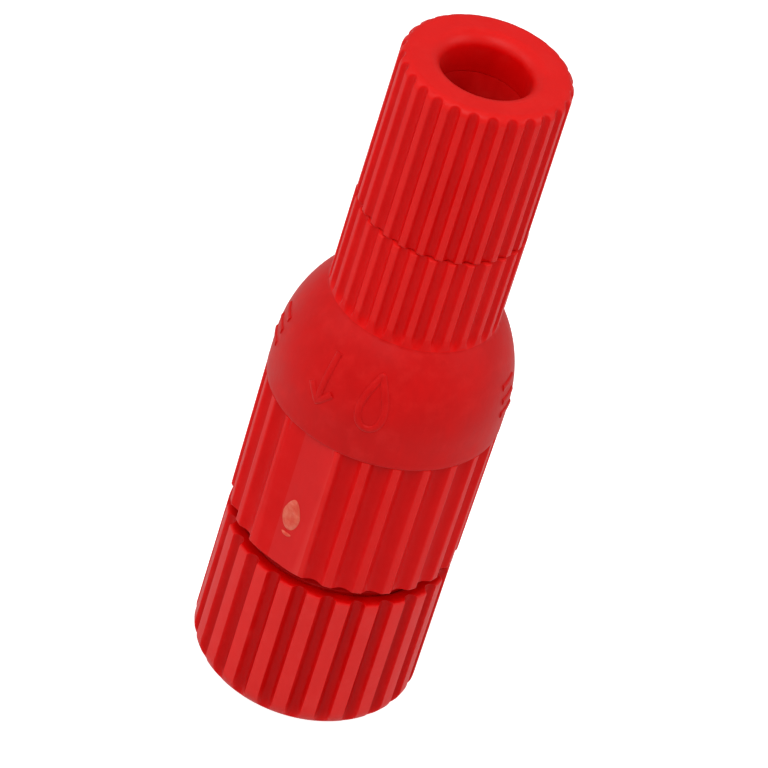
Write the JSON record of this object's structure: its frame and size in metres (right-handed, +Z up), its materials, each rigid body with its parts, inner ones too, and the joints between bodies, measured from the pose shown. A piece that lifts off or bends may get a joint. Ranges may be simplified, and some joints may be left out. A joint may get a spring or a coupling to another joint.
{
  "type": "drip emitter",
  "caption": "Take-apart drip irrigation emitter: ribbed hose nut, domed and fluted body, and a ribbed screw cap that sets the drip rate.",
  "frame": {"origin": "centre of the cap's flat bottom", "axes": "+Z up the emitter's axis towards the hose nut; -Y faces the viewer, with the skirt's flat panel a little to the left"},
  "size_m": [0.0166, 0.0168, 0.0524],
  "materials": {
    "nut_plastic": "semi-gloss red",
    "body_plastic": "semi-gloss red, satin on the shoulder",
    "cap_plastic": "semi-gloss red",
    "ring_plastic": "red acetal",
    "pin_plastic": "natural acetal",
    "bush_plastic": "black",
    "frame_plastic": "black",
    "core_plastic": "black",
    "seal_rubber": "black",
    "diaphragm_silicone": "translucent natural silicone",
    "mesh_steel": "stainless"
  },
  "bodies": {
    "emitter": {"body": "body_plastic", "thrust_bush": "bush_plastic", "tube_o_ring": "seal_rubber", "filter_frame": "frame_plastic", "filter_mesh": "mesh_steel", "labyrinth_core": "core_plastic", "diaphragm": "diaphragm_silicone", "seat_plate": "core_plastic", "retaining_ring": "mesh_steel"},
    "clinch": {"clinching_ring": "ring_plastic"},
    "nut": {"hose_nut": "nut_plastic"},
    "seal": {"cap_o_ring": "seal_rubber"},
    "cap": {"flow_cap": "cap_plastic", "metering_pin": "pin_plastic"}
  },
  "joints": [
    {"name": "nut_rise", "type": "slide", "parent": "emitter", "child": "clinch", "axis": [0, 0, 1], "range_m": [0, 0.003]},
    {"name": "nut_turn", "type": "hinge", "parent": "clinch", "child": "nut", "pos_m": [0, 0, 0.0464], "axis": [0, 0, 1], "range_deg": [0, 720]},
    {"name": "cap_rise", "type": "slide", "parent": "emitter", "child": "seal", "axis": [0, 0, 1], "range_m": [-0.001, 0.001]},
    {"name": "cap_turn", "type": "hinge", "parent": "seal", "child": "cap", "pos_m": [0, 0, 0.006], "axis": [0, 0, 1], "range_deg": [-180, 180]}
  ],
  "couplings": [
    {"joint": "nut_turn", "follows": "nut_rise", "rad_per_m": 4188.8},
    {"joint": "cap_turn", "follows": "cap_rise", "rad_per_m": 3141.6}
  ]
}
